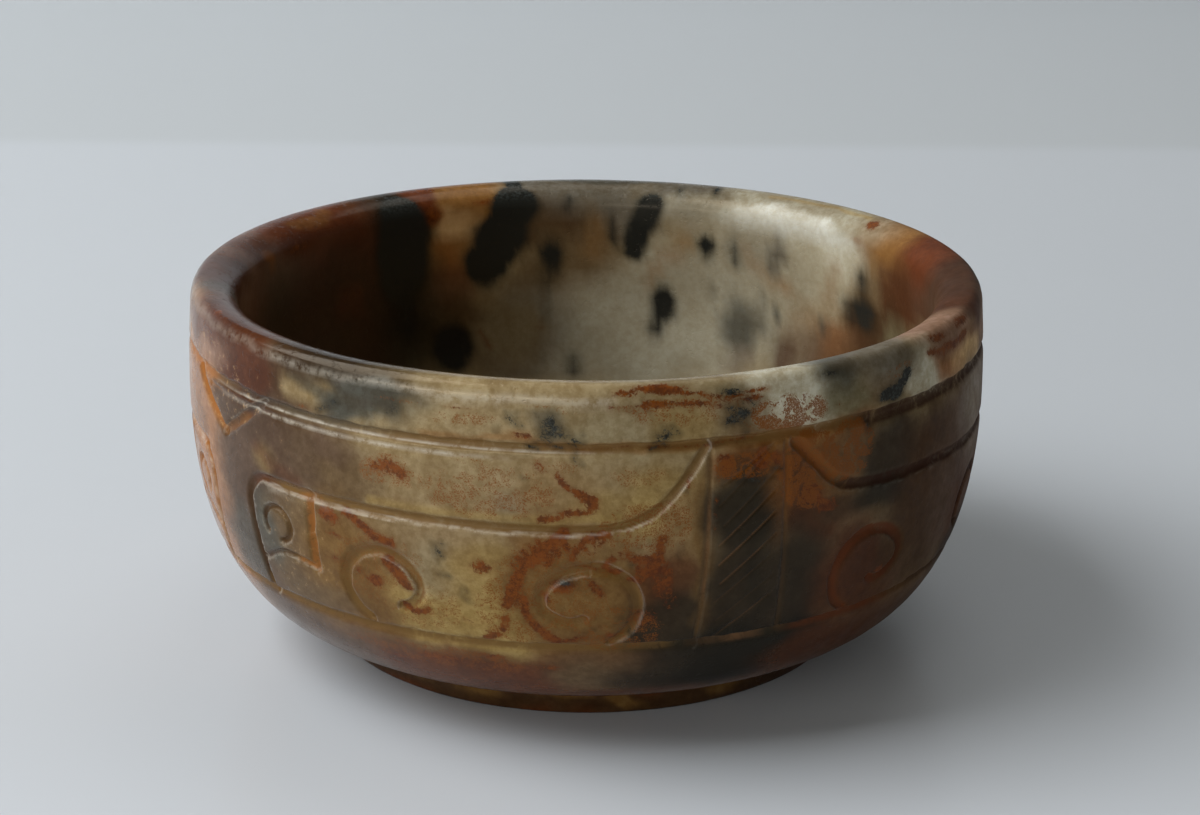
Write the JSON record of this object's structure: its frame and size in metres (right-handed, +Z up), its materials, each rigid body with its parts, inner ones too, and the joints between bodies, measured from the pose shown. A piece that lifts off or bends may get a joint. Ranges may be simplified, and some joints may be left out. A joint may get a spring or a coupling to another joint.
{
  "type": "carved stone cup",
  "caption": "Wide, low bowl-shaped cup with a rounded lip, a carved band between grooves and a low foot ring, cut from a single piece of stone.",
  "frame": {"origin": "middle of the foot ring's resting face", "axes": "+Z up along the cup's turning axis; -Y faces the side that the picture shows, +X to the right there"},
  "size_m": [0.08, 0.08, 0.0369],
  "materials": {
    "jade": "softly polished nephrite, pale olive with russet, dark brown and inky black markings"
  },
  "bodies": {
    "root": {"jade_cup": "jade"}
  },
  "joints": []
}
